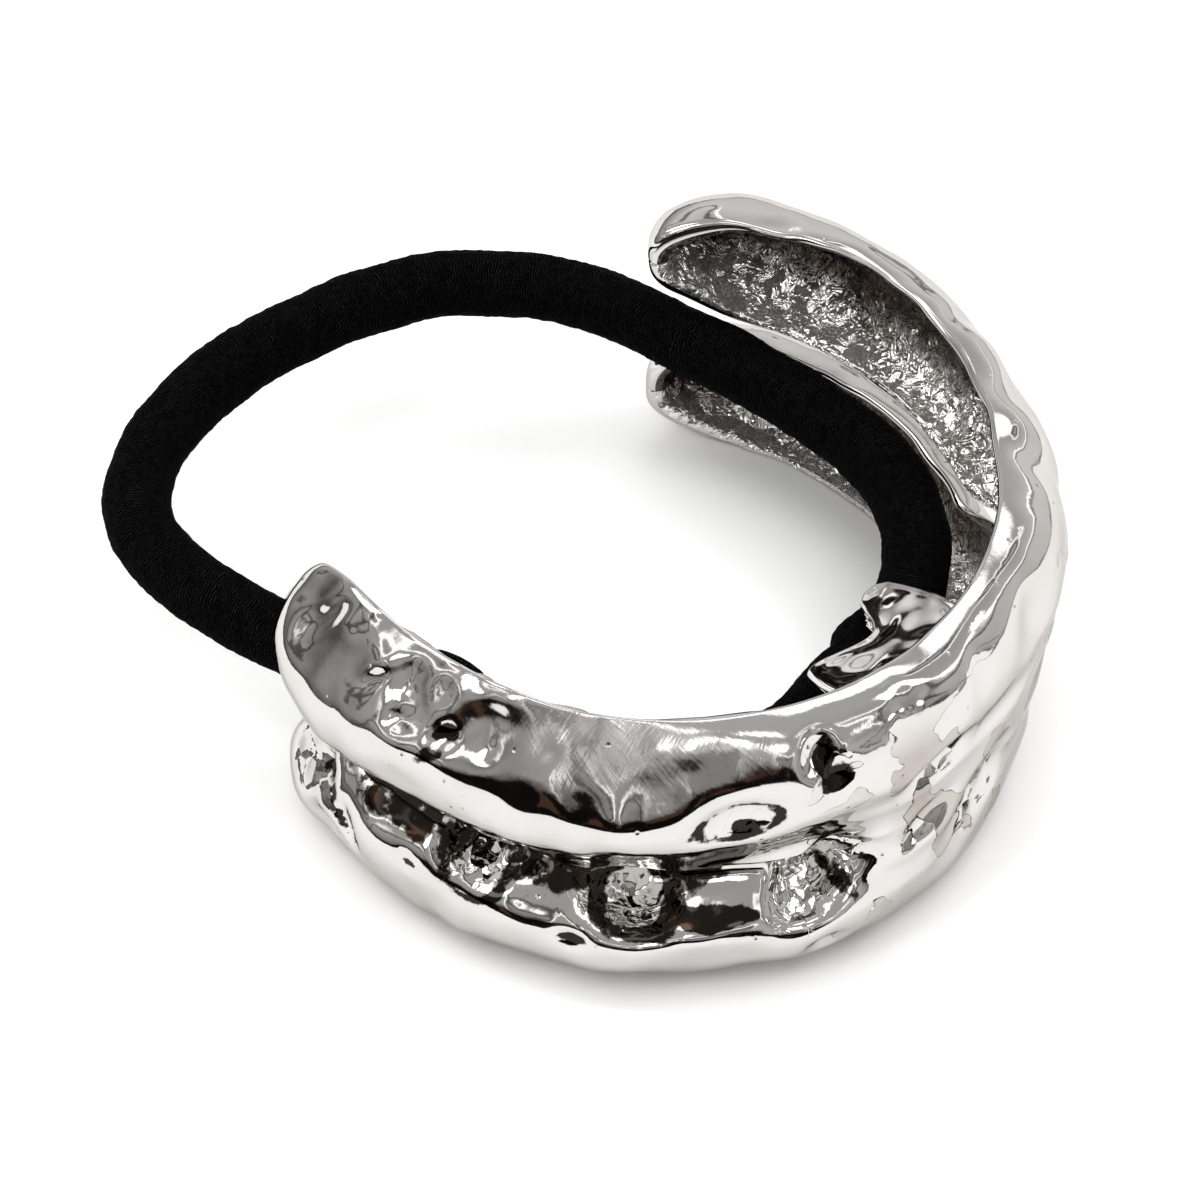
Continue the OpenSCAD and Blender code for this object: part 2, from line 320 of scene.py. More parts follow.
def buildRoom(look):
    world = bpy.data.worlds.new("studio")
    scene.world = world
    world.use_nodes = True
    tree = world.node_tree
    tree.nodes.clear()
    tools = Wire(tree)
    way = tools.node("ShaderNodeTexCoord", out=0)
    up = tools.node("ShaderNodeSeparateXYZ", {}, {0: way}, out=2)

    def facing(turn):
        # 1 in the level direction at that turn from the camera, -1 opposite
        a = math.radians(shot["azimuth"] + turn)
        return way.dot((math.sin(a), -math.cos(a), 0.0))

    def box(turn, elevation, wide, tall, brightness, lean):
        # an oval patch of light with soft edges
        a, e, c = math.radians(shot["azimuth"] + turn), math.radians(elevation), math.radians(lean)
        ahead = Vector((math.sin(a) * math.cos(e), -math.cos(a) * math.cos(e), math.sin(e)))
        side = Vector((math.cos(a), math.sin(a), 0))
        rise = ahead.cross(side)
        side, rise = side * math.cos(c) + rise * math.sin(c), rise * math.cos(c) - side * math.sin(c)
        across = way.dot(side) / math.sin(math.radians(wide))
        along = way.dot(rise) / math.sin(math.radians(tall))
        far = across ** 2 + along ** 2
        return (1 - far.between(0.45, 1.45)) * way.dot(ahead).between(0, 0.1) * brightness

    # the walls: a grey at each side, one at the far side and two overhead
    lit = facing(90).between(-0.15, 0.75).mixColour(look["left"], look["right"])
    lit = facing(165).between(0.25, 0.85).mixColour(lit, look["far"])
    lit = up.between(0.35, 0.80).mixColour(lit, look["high"])
    lit = up.between(0.85, 0.97).mixColour(lit, look["top"])
    # dark clouds on them, but not at the far side or overhead
    cloud = way.cloudy(look["cloudFine"], 3.0).between(0.44, 0.66) * (1 - up.between(0.50, 0.75))
    cloud = cloud * (1 - facing(165).between(-0.1, 0.4)) * look["cloudShare"]
    lit = cloud.mixColour(lit, look["black"])
    # they darken towards the horizon, but not at the right
    clear = up.between(-0.05, 0.34) * 0.75 + 0.25 + facing(120).between(0.1, 0.6)
    lit = tools.node("ShaderNodeClamp", {}, {"Value": clear}).mixColour(look["black"], lit)
    # a ragged dark band by the horizon, brown in places
    height = up + (way.cloudy(look["raggedFine"], 3.0) - 0.5) * look["ragged"]
    edge = facing(look["darkTurn"]).between(0.50, 0.90) * look["darkHigh"] + 0.015
    shown = height.between(edge - 0.06, edge + 0.05)
    dark = way.cloudy(look["brownFine"], 2.0).between(0.54, 0.66).mixColour(look["black"], look["brown"])
    glow = sum(box(*facts) for facts in boxes.values())
    # thin bright and dark lines, as from the edges of reflectors
    bend = way.cloudy(look["lineFine"], 1.0, Distortion=0.3)
    bright = 1 - abs(bend - 0.50).between(0.002, 0.024)
    deep = 1 - abs(bend - 0.555).between(0.004, 0.026)
    below = 1 - up.between(0.80, 0.92)
    glow = glow + bright * up.between(0.34, 0.50) * below * look["lineBright"]
    lit = (deep * up.between(0.02, 0.12) * below * look["lineShare"]).mixColour(lit, look["black"])
    whole = tools.vector("ADD", shown.mixColour(dark, lit), glow)
    lamp = tools.node("ShaderNodeBackground", {}, {"Color": whole})
    end = tree.nodes.new("ShaderNodeOutputWorld")
    tree.links.new(lamp.socket, end.inputs["Surface"])


def addCeiling(look):
    # only softens the shadows: the metal doesn't show it
    clearSelection()
    bpy.ops.object.light_add(type="AREA", location=(0, 0, look["lampHeight"]))
    lamp = bpy.context.object
    lamp.name = "ceiling"
    lamp.data.size = look["lampSize"]
    lamp.data.energy = look["lampBright"] * 4 * look["lampSize"] ** 2
    lamp.visible_glossy = False


def buildFloor(look):
    clearSelection()
    bpy.ops.mesh.primitive_plane_add(size=look["floorSize"], location=(0, 0, 0))
    floor = bpy.context.object
    floor.name = "floor"
    constants = {"Roughness": 0.9, "Specular IOR Level": 0.2, "Base Color": (*look["floorColour"], 1)}
    floor.data.materials.append(startMaterial("floorPaper", constants)[0])


buildRoom(studio)
buildFloor(studio)
addCeiling(studio)
print("room with", len(boxes), "soft boxes, floor and ceiling lamp")


# both faces of the casting
polish = {
    "colour": (0.615, 0.603, 0.587), "edgeTint": (0.68, 0.67, 0.655), "hollowColour": (0.34, 0.30, 0.27),
    # black and the brown after it are the colours of painted dark reflections and shade
    "black": (0.026, 0.022, 0.019), "paintedBrown": (0.050, 0.031, 0.022), "roughness": 0.05,
    "flakeSize": 0.0058, "flakeLean": 0.17, "flakeEdge": 0.564, "flakeMiddle": 0.015,
    "facet": 0.0016, "facetLean": 0.55, "foldHeight": 0.00013, "scratchHeight": 0.0000022,
    "mottleHeight": 0.00003, "peelHeight": 0.00001, "speckHeight": 0.00003,
    "filmFine": 190, "foldFine": 560, "mottleFine": 480, "peelFine": 900, "speckFine": 1100,
    "stainFine": 420, "raggedFine": 700, "paintedBrownFine": 330,
    "scratches": (5200, 420, 1), "scratchTurn": 0.45, "crossed": (4600, 380, 1), "crossTurn": 2.30,
}
castSkin = {
    # lid is the colour of the painted shade at the top of the troughs
    "light": (0.97, 0.95, 0.92), "brown": (0.42, 0.34, 0.27), "lid": (0.10, 0.083, 0.07), "roughness": 0.12,
    "facet": 0.00060, "facetLean": 0.70, "crinkle": 0.00026, "grainHeight": 0.000012,
    "grainFine": 2600, "stainFine": 260, "creaseFine": 850,
}


def facets(place, size):
    # height of small flat facets that each lean their own way, as in crumpled foil
    bent = place.cloudy(0.8 / size, 2.0).also(1)
    moved = place.vector("MULTIPLY_ADD", bent, (size * 0.25,) * 3, place)
    cell = place.node("ShaderNodeTexVoronoi", {}, {"Vector": moved, "Scale": 1 / size})
    lean = place.vector("SUBTRACT", cell.also("Color"), (0.5, 0.5, 0.5))
    return place.vector("SUBTRACT", moved, cell.also("Position")).dot(lean)


def mark(tools, name):
    return tools.node("ShaderNodeAttribute", {"attribute_name": name}, out=2)


def polishedMetal(look):
    constants = {"Metallic": 1.0, "Specular Tint": (*look["edgeTint"], 1)}
    material, tools, shader = startMaterial("polishedMetal", constants)
    place = tools.node("ShaderNodeTexCoord", out=3)
    strip = tools.node("ShaderNodeTexCoord", out=2)
    up = tools.node("ShaderNodeSeparateXYZ", {}, {0: place}, out=2)
    flaky, glitter, scuffed = mark(tools, "flaky"), mark(tools, "glitter"), mark(tools, "scuffed")
    film = place.cloudy(look["filmFine"], 4.0)
    # flakes: flat patches that lean back a little, with a sharp outline
    cloud = place.cloudy(1 / look["flakeSize"], 3.0, Roughness=0.45, Distortion=0.5) - look["flakeEdge"]
    flake = cloud.between(-0.004, 0.003) * flaky
    outline = 1 - abs(cloud).between(0.001, 0.005)
    leaning = ((up - look["flakeMiddle"]) * flake * -look["flakeLean"]).bump(1.0)
    # crumpled floor of the dents
    fold = abs(place.cloudy(look["foldFine"], 1.5, Distortion=0.5) - 0.5)
    folded = (fold * glitter).bump(look["foldHeight"], leaning)
    crumple = (facets(place, look["facet"]) * glitter).bump(look["facetLean"], folded)
    # fine scratches every way, most of them where the front rim was rubbed
    scratch = strip.stretched(look["scratches"], look["scratchTurn"]).cloudy(1.0, 3.0)
    crossed = strip.stretched(look["crossed"], look["crossTurn"]).cloudy(1.0, 3.0)
    rubbed = (scratch + crossed) * (scuffed * 6.0 + 0.5)
    scratched = rubbed.bump(look["scratchHeight"], crumple)
    mottled = (place.cloudy(look["mottleFine"], 3.0) * scuffed).bump(look["mottleHeight"], scratched)
    peeled = place.cloudy(look["peelFine"], 2.0).bump(look["peelHeight"], mottled)
    # casting pinholes, in few of the cells
    dots = tools.node("ShaderNodeTexVoronoi", {}, {"Vector": place, "Scale": look["speckFine"]})
    few = tools.node("ShaderNodeSeparateColor", {}, {0: dots.also("Color")}).between(0.88, 0.90)
    speck = (1 - dots.between(0.05, 0.20)) * few
    normal = (1 - speck).bump(look["speckHeight"], peeled)
    stain = place.cloudy(look["stainFine"], 6.0, Roughness=0.7)
    tarnish = outline * flaky * 0.5 + flake * (film * 0.55 + 0.30) + film.between(0.45, 0.75) * 0.16
    tarnish = tarnish + speck * 0.8 + stain.between(0.60, 0.80) * 0.25 + glitter * 0.05
    clean = tarnish.mixColour(look["colour"], look["hollowColour"])
    # painted dark reflections and shade: ragged dark brown patches where the cuff is marked dark
    ragged = (place.cloudy(look["raggedFine"], 4.0, Roughness=0.6) - 0.5) * 1.5
    paintedShadeShare = (mark(tools, "dark") + ragged).between(0.42, 0.62)
    dark = place.cloudy(look["paintedBrownFine"], 2.0).between(0.56, 0.66).mixColour(look["black"], look["paintedBrown"])
    rough = stain.between(0.4, 0.8) * 0.04 + scuffed * 0.13 + look["roughness"]
    feed(tools, shader, Base_Color=paintedShadeShare.mixColour(clean, dark), Roughness=rough, Normal=normal)
    return material


def castMetal(look):
    material, tools, shader = startMaterial("castMetal", {"Specular IOR Level": 0.8})
    place = tools.node("ShaderNodeTexCoord", out=3)
    fine = place.cloudy(look["grainFine"], 4.0, Roughness=0.6)
    wide = place.cloudy(look["stainFine"], 4.0)
    # worm-like creases over small facets
    crease = abs(place.cloudy(look["creaseFine"], 2.0, Distortion=1.2) - 0.5)
    creased = (crease * 2).bump(look["crinkle"], facets(place, look["facet"]).bump(look["facetLean"]))
    # painted shade: the upper part of a trough is painted dark, where little light reaches it
    shaded = (mark(tools, "lid") + (wide - 0.5) * 0.45).between(0.06, 0.34)
    bare = (wide.between(0.50, 0.75) * 0.3).mixColour(look["light"], look["brown"])
    feed(tools, shader, Base_Color=shaded.mixColour(bare, look["lid"]), Metallic=shaded * 0.15 + 0.85,
         Roughness=fine * 0.10 + look["roughness"], Normal=fine.bump(look["grainHeight"], creased))
    return material


# the casting, in metres and degrees
cuffShape = {
    "radius": 0.022, "height": 0.0215, "depth": 0.0042, "cover": 128, "tip": 0.0065,
    "slit": 0.0015, "slitLeft": 62, "slitRight": 88, "slitFlare": 0.0012, "skin": 0.0006, "tipSkin": 0.0014,
    "tipHigh": 0.80, "tipDeep": 0.82, "dentDepth": 0.0019, "edgeRound": 0.0012, "lowest": 0.0003,
    "tipColumns": 44, "bodyColumns": 350, "midRows": 33, "midTurn": 72.4, "seam": 0.000002,
    "groove": 0.62, "grooveRight": 0.34, "lean": 0.85, "mapHigh": 0.007,
    "grain": 0.0018, "grainSeed": 8, "grainHeight": 0.00028, "grainLevel": 0.35,
    "forkFade": 0.14, "closedSlit": 0.12, "flare": (0.84, 1), "thick": (0.86, 0.97), "soft": (-0.36, -0.14),
    "leanLeft": (0.17, 0.53), "upright": (0.92, 1), "roundTop": 0.045, "roughFade": 0.0006,
    "power": 0.8, "rounderUpper": 1.2, "rounderLower": 1.4, "grooveWide": 0.6, "dentFade": 0.4,
    "crumpleLarge": 0.0011, "crumpleSmall": 0.002, "crumpleEnd": (0.02, 0.08),
    "waveLeft": (0.22, 0.57), "waveRight": (0.42, 0.62), "capWide": 0.03,
}
# turns from the rims where rows lie close together
nearRows = [0, 0.25, 0.6, 1.1, 1.8, 2.9, 4.5, 6.8, 9.8, 13.4]
# size, seed, height, and height added at the left, half of it at the right
waves = [[0.0078, 7, 0.00018, 0], [0.0050, 1, 0.00016, 0], [0.0031, 2, 0.00006, 0.00008],
         [0.0018, 3, 0, 0.00005]]
# size, seed and height of the lumps in the troughs
castLumps = [[0.0010, 4, 0.00006], [0.0017, 5, 0.00006], [0.0036, 6, 0.00014]]
arcHalf = math.radians(cuffShape["cover"]) * (cuffShape["radius"] + cuffShape["depth"] / 2)

# place along the cuff, rim, foot, low, mid, top, lower band's bulge, upper band's bulge
sections = [[-1.00, 1.02, 1.02, 0.020, 0.440, 0.985, 1.12, 1.20],
            [-0.86, 1.00, 1.00, 0.000, 0.465, 0.985, 1.22, 1.28],
            [-0.70, 0.99, 0.99, 0.000, 0.470, 0.985, 1.28, 1.12],
            [-0.52, 1.01, 1.01, 0.000, 0.460, 0.980, 1.28, 1.20],
            [-0.34, 1.01, 1.01, 0.000, 0.460, 0.975, 1.32, 1.12],
            [-0.16, 1.01, 1.01, 0.000, 0.470, 0.970, 1.18, 1.10],
            [0.00, 1.00, 1.00, 0.000, 0.485, 0.975, 0.98, 1.00],
            [0.16, 0.99, 0.99, 0.000, 0.490, 0.990, 0.78, 1.10],
            [0.34, 0.98, 0.95, 0.000, 0.500, 1.000, 0.80, 1.12],
            [0.52, 1.01, 0.95, 0.000, 0.510, 1.000, 0.90, 0.98],
            [0.70, 1.05, 1.00, 0.000, 0.515, 0.995, 1.00, 1.14],
            [0.86, 1.06, 1.07, 0.000, 0.530, 0.995, 1.10, 1.46],
            [1.00, 1.03, 1.08, 0.015, 0.550, 0.990, 1.20, 1.56]]

# place, height share, length and width as shares of the band's depth, depth share, lean
dents = [[-0.9, 0.3, 0.7, 0.45, 0.6, 20], [-0.82, 0.14, 0.8, 0.35, 0.45, -30],
         [-0.64, 0.4, 0.6, 0.4, 0.8, 0], [-0.74, 0.86, 0.55, 0.5, 0.15, 30],
         [-0.46, 0.37, 0.76, 0.5, 1, 0], [-0.44, 0.86, 0.6, 0.6, 0.1, 0],
         [-0.245, 0.38, 0.82, 0.42, 0.95, 38], [-0.25, 0.16, 0.32, 0.24, 0.3, 0],
         [-0.1, 0.66, 0.7, 0.35, 0.4, 15], [-0.03, 0.34, 1.1, 0.5, 0.4, 35], [0.1, 0.8, 0.5, 0.7, 0.3, 60],
         [0.22, 0.36, 0.5, 0.7, 0.4, 60], [0.34, 0.7, 0.5, 0.8, 0.35, 70],
         [0.46, 0.36, 0.5, 0.6, 0.35, 60], [0.56, 0.78, 0.6, 0.5, 0.4, 20],
         [0.74, 0.82, 0.6, 0.45, 0.4, 0], [0.82, 0.24, 0.6, 0.45, 0.4, 0]]

# small hollows (depth above 0) and knobs (below 0):
# place, height share, length, width and depth in millimetres, lean
pits = [[-0.905, 0.862, 1.2, 0.7, 0.4, 40], [-0.344, 0.72, 2.6, 1.3, 0.8, 12],
        [-0.252, 0.885, 1.2, 0.9, 0.75, 50], [-0.267, 0.355, 3.4, 1.5, 0.7, 40],
        [-0.518, 0.247, 1.1, 0.6, 0.35, 0], [-0.885, 0.92, 0.8, 0.6, 0.3, 60],
        [-0.751, 0.911, 1.3, 0.9, 0.28, 30], [-0.791, 0.861, 0.8, 0.5, 0.3, 40],
        [-0.746, 0.805, 0.9, 0.5, 0.3, 10], [-0.681, 0.825, 1, 0.7, 0.35, 20],
        [-0.626, 0.835, 0.6, 0.4, 0.2, 0], [-0.7, 0.925, 0.8, 0.7, 0.22, 0],
        [-0.631, 0.894, 1.7, 1.2, 0.36, 10], [-0.6, 0.96, 0.8, 0.6, 0.15, 0],
        [-0.534, 0.905, 0.8, 0.6, -0.1, 0], [-0.396, 0.915, 0.7, 0.5, -0.1, 0],
        [-0.433, 0.925, 0.6, 0.5, -0.1, 0], [-0.875, 0.318, 1.1, 0.6, 0.5, 20],
        [-0.845, 0.299, 0.9, 0.5, 0.45, -20], [-0.803, 0.258, 1.5, 0.6, 0.45, -45],
        [-0.713, 0.3, 0.7, 0.3, 0.2, -30], [-0.576, 0.395, 1, 0.8, 0.45, 0],
        [-0.608, 0.37, 1, 0.8, 0.5, 30], [-0.024, 0.86, 1.6, 1, 0.25, 60], [0.1, 0.88, 1.5, 1.3, 0.25, 0],
        [-0.116, 0.43, 2.2, 0.9, 0.4, 30], [0.029, 0.37, 1.8, 1, 0.35, 50],
        [-0.14, 0.95, 0.7, 0.6, 0.12, 0], [-0.15, 0.88, 0.9, 0.7, 0.18, 30],
        [-0.385, 0.29, 1.4, 0.8, -0.25, 0], [-0.235, 0.825, 1, 0.7, 0.6, 20], [0.3, 0.85, 2, 1, 0.3, 40],
        [0.42, 0.78, 1.6, 1, 0.35, -20], [0.62, 0.86, 1.8, 0.9, 0.3, 20], [0.3, 0.26, 1.6, 1, 0.35, 50],
        [0.6, 0.3, 1.8, 1, 0.4, 20], [0.3, 0.965, 2, 1.2, 0.4, 20], [0.42, 0.955, 2.4, 1, 0.45, -20],
        [0.55, 0.965, 1.8, 1.1, 0.35, 10], [0.72, 0.96, 2.4, 0.8, 0.25, 0]]


def hollow(place, high):
    # depth of the large dents, as the solid has them, and of the small ones
    shape = cuffShape
    large = np.zeros_like(high)
    for at, up, long, tall, deep, lean in dents:
        x, y = (place - at) * arcHalf, high - up * shape["height"]
        far = ovalFar(x, y, long * shape["depth"], tall * shape["depth"], lean)
        large = np.maximum(large, deep * np.clip(1 - far / 1.8, 0, 1) ** 2)
    small = np.zeros_like(high)
    for at, up, long, tall, deep, lean in pits:
        x, y = (place - at) * arcHalf * 1000, (high - up * shape["height"]) * 1000
        small += deep * 0.001 * np.exp(-ovalFar(x, y, long, tall, lean) ** 1.4 * 0.9)
    return large * shape["dentDepth"], small


# wear, and painted shade and dark reflections: a mark fades in, or out, between the two numbers of a pair
wearAndPaintedShade = {
    "ringWide": 0.28, "patchEdge": (0.6, 1.4),
    "underStart": (-0.86, -0.78), "underEnd": (-0.42, -0.30), "underHigh": (0.5, 0.8), "underDark": 0.70,
    "underDent": (0.0006, 0.0012), "glitterDent": (0.25, 0.75), "glitterEdge": (0, 0.001),
    "flakyStart": (-0.30, -0.15), "flakyEnd": (0.44, 0.56), "flakyTop": (0.78, 0.90),
    "scuffAt": -0.45, "scuffWide": 0.16, "scuffHigh": (0.80, 0.92),
}
# painted dark reflections and shade, as dark brown spots, or rings where ring is 1:
# place, height share, length and width in millimetres, lean, ring, strength
shades = [[-0.681, 0.832, 0.9, 0.6, 20, 0, 0.8], [-0.691, 0.773, 1, 0.5, 30, 0, 0.7],
          [-0.337, 0.683, 0.8, 0.6, 20, 0, 1], [-0.247, 0.864, 0.9, 0.6, 60, 0, 1],
          [-0.237, 0.812, 1.2, 0.7, 30, 0, 0.9], [-0.344, 0.705, 2.5, 1.1, 12, 1, 0.7],
          [-0.875, 0.313, 0.9, 0.4, 20, 0, 0.9], [-0.845, 0.299, 0.7, 0.35, -20, 0, 0.9],
          [-0.816, 0.263, 0.8, 0.35, -40, 0, 0.9], [-0.791, 0.253, 0.7, 0.4, -60, 0, 0.9],
          [-0.711, 0.302, 0.6, 0.25, -20, 0, 1], [-0.666, 0.382, 1, 0.6, 20, 0, 1],
          [-0.636, 0.35, 1.9, 1.4, 0, 1, 0.8], [-0.52, 0.378, 3.2, 0.45, -4, 0, 0.9],
          [-0.455, 0.338, 2.3, 1.35, 0, 1, 1], [-0.368, 0.318, 2.6, 0.5, -3, 0, 1],
          [-0.385, 0.395, 2.4, 0.4, -5, 0, 0.8], [-0.222, 0.335, 0.7, 1.4, 40, 0, 0.65],
          [-0.518, 0.245, 0.9, 0.4, 0, 0, 1]]


def paintedShading(place, high, rise, upper):
    # painted shade: how dark the colour is painted, from the marks above, and under the upper band's overhang
    dark = np.zeros_like(high)
    for at, up, long, tall, lean, ring, strength in shades:
        x, y = (place - at) * arcHalf * 1000, (high - up * cuffShape["height"]) * 1000
        far = np.sqrt(ovalFar(x, y, long, tall, lean))
        patch = np.exp(-((far - 1) / wearAndPaintedShade["ringWide"]) ** 2) if ring else 1 - eased(far, *wearAndPaintedShade["patchEdge"])
        dark = np.maximum(dark, strength * patch)
    along = eased(place, *wearAndPaintedShade["underStart"]) * (1 - eased(place, *wearAndPaintedShade["underEnd"]))
    under = eased(rise, *wearAndPaintedShade["underHigh"]) * along * wearAndPaintedShade["underDark"]
    inDent = eased(hollow(place, high)[0], *wearAndPaintedShade["underDent"])
    return np.maximum(dark, np.where(upper, 0, under) * (1 - inDent))


def bandPoints(place, halfShare, depthShare, angle, upper):
    # points on one band's outside, and how far each lies in a crumpled dent
    shape = cuffShape
    side = np.where(place < 0, shape["slitLeft"], shape["slitRight"])
    forked = eased((np.abs(place) - 1 + side / shape["cover"]) / shape["forkFade"])
    closed = shape["closedSlit"]
    split = shape["slit"] / 2 * (closed + (1 - closed) * forked)
    split = split + shape["slitFlare"] * eased(np.abs(place), *shape["flare"])
    middle = flowing(sections, place, 4) * shape["height"]
    low = middle + split if upper else flowing(sections, place, 3) * shape["height"]
    high = flowing(sections, place, 5) * shape["height"] if upper else middle - split
    deep = flowing(sections, place, 7 if upper else 6) * shape["depth"] * depthShare
    half = (high - low) / 2 * halfShare
    rise = np.sin(angle)
    # rows spread evenly towards the groove
    merged = 1 - forked
    rise = rise + (angle / (math.pi / 2) - rise) * merged * eased(-rise * 4 if upper else rise * 4)
    # a sharp groove between the bands at the left, hardly any at the right
    soft = eased(place, *shape["soft"])
    towards = np.maximum(0, -rise if upper else rise)
    edge = towards ** 3 * (1 - soft) + eased(towards, 0, shape["grooveWide"]) * soft
    groove = (shape["groove"] + shape["grooveRight"] * soft) * shape["depth"] * merged * edge
    z = (low + high) / 2 + half * rise
    foot = flowing(sections, place, 2)
    rim = shape["radius"] * (foot + (flowing(sections, place, 1) - foot) * z / shape["height"])
    rounder = shape["rounderUpper"] * soft * eased(-rise) if upper else shape["rounderLower"] * eased(rise)
    power = shape["power"] + merged * rounder
    arch = np.maximum(0, np.cos(angle))
    # at the left the upper band has a shoulder, and leans back above it
    lean = 0
    if upper:
        tipped = 1 - 0.5 * eased(np.abs(place), *shape["upright"])
        lean = shape["lean"] * eased(-place, *shape["leanLeft"]) * tipped
    shoulder = (rise + np.sqrt(rise ** 2 + shape["roundTop"])) / 2.02
    bulge = (1 - lean) * arch ** power + lean * np.maximum(0, 1 - shoulder) * arch ** 0.3 * 1.05
    bulge = groove + (deep - groove) * bulge
    large, small = hollow(place, z)
    fade = eased(bulge / shape["depth"], 0, shape["dentFade"])
    r = rim + np.maximum(0, bulge - (large + small) * depthShare * fade)
    a = place * math.radians(shape["cover"])
    dented = np.clip(large / shape["crumpleLarge"] + small / shape["crumpleSmall"], 0, 1)
    dented = dented * (1 - eased(place, *shape["crumpleEnd"]))
    return np.stack([r * np.sin(a), -r * np.cos(a), z], -1), fade * depthShare * dented


def bothBands(upper, *values):
    # the lower band's points and the upper band's, each with its own share of the values
    points, inDent = np.empty((len(upper), 3)), np.empty(len(upper))
    for which in (False, True):
        here = upper == which
        points[here], inDent[here] = bandPoints(*[value[here] for value in values], which)
    return points, inDent


def innerEnd(shape, at, halfShare, depthShare, angle, upper, thick, end):
    # a smaller end of the same shape, as the inner face of the tips
    shift = np.maximum(0, 1 - (1 - np.abs(at)) / (1 - end)) * thick / arcHalf
    low, middle, high = [flowing(sections, at, column) for column in (3, 4, 5)]
    tall = shape["height"] * np.where(upper, high - middle, middle - low) / 2 - shape["slit"]
    bulk = np.where(upper, flowing(sections, at, 7), flowing(sections, at, 6)) * shape["depth"]
    smaller = (at * (1 - shift), halfShare * (1 - thick / tall), depthShare * (1 - thick / bulk), angle)
    return bothBands(upper, *smaller)[0]


def cutSlits(cuff, i, j, gapRow, forked):
    # deletes the faces between the two bands where the cuff is forked
    spot = np.empty(len(cuff.data.polygons) * 4, int)
    cuff.data.polygons.foreach_get("vertices", spot)
    corners = spot.reshape(-1, 4)
    lowest, left = j[corners].min(1), i[corners].min(1)
    bpy.ops.object.mode_set(mode="EDIT")
    bpy.ops.mesh.select_mode(type="FACE")
    bpy.ops.mesh.select_all(action="DESELECT")
    bpy.ops.object.mode_set(mode="OBJECT")
    cuff.data.polygons.foreach_set("select", (lowest == gapRow) & (forked[left] | forked[left + 1]))
    bpy.ops.object.mode_set(mode="EDIT")
    bpy.ops.mesh.delete(type="ONLY_FACE")
    bpy.ops.mesh.select_mode(type="VERT")
    bpy.ops.object.mode_set(mode="OBJECT")


def cuffGrid(shape, end):
    # columns along the cuff, each with its share of the band's height and depth, and the rows' turns
    tips = 90 * (np.arange(1, shape["tipColumns"]) / shape["tipColumns"]) ** 1.5
    cut = shape["tip"] * (1 - np.cos(np.radians(tips))) / arcHalf
    body = np.linspace(-end, end, shape["bodyColumns"] + 1)
    places = np.concatenate([-1 + cut, body, (1 - cut)[::-1]])
    ones = np.ones(shape["bodyColumns"] + 1)
    share = np.sin(np.radians(tips)) ** shape["tipHigh"]
    halfShare = np.concatenate([share, ones, share[::-1]])
    deep = np.sin(np.radians(tips)) ** shape["tipDeep"]
    depthShare = np.concatenate([deep, ones, deep[::-1]])
    middle = np.linspace(-shape["midTurn"], shape["midTurn"], shape["midRows"])
    turns = np.concatenate([[-90 + x for x in nearRows], middle, [90 - x for x in nearRows[::-1]]])
    return places, halfShare, depthShare, np.radians(turns)


def markCuff(cuff, at, high, rise, upper, inDent, far):
    # where painted shade darkens the metal (lid, dark), and where it is crumpled, flaky or scuffed
    share = high / cuffShape["height"]
    addMark(cuff, "lid", rise * 0.5 + 0.5)
    addMark(cuff, "dark", paintedShading(at, high, rise, upper))
    addMark(cuff, "glitter", eased(inDent, *wearAndPaintedShade["glitterDent"]) * eased(far, *wearAndPaintedShade["glitterEdge"]))
    along = eased(at, *wearAndPaintedShade["flakyStart"]) * (1 - eased(at, *wearAndPaintedShade["flakyEnd"]))
    addMark(cuff, "flaky", along * (1 - eased(share, *wearAndPaintedShade["flakyTop"])))
    along = np.exp(-((at - wearAndPaintedShade["scuffAt"]) / wearAndPaintedShade["scuffWide"]) ** 2)
    addMark(cuff, "scuffed", along * eased(share, *wearAndPaintedShade["scuffHigh"]))


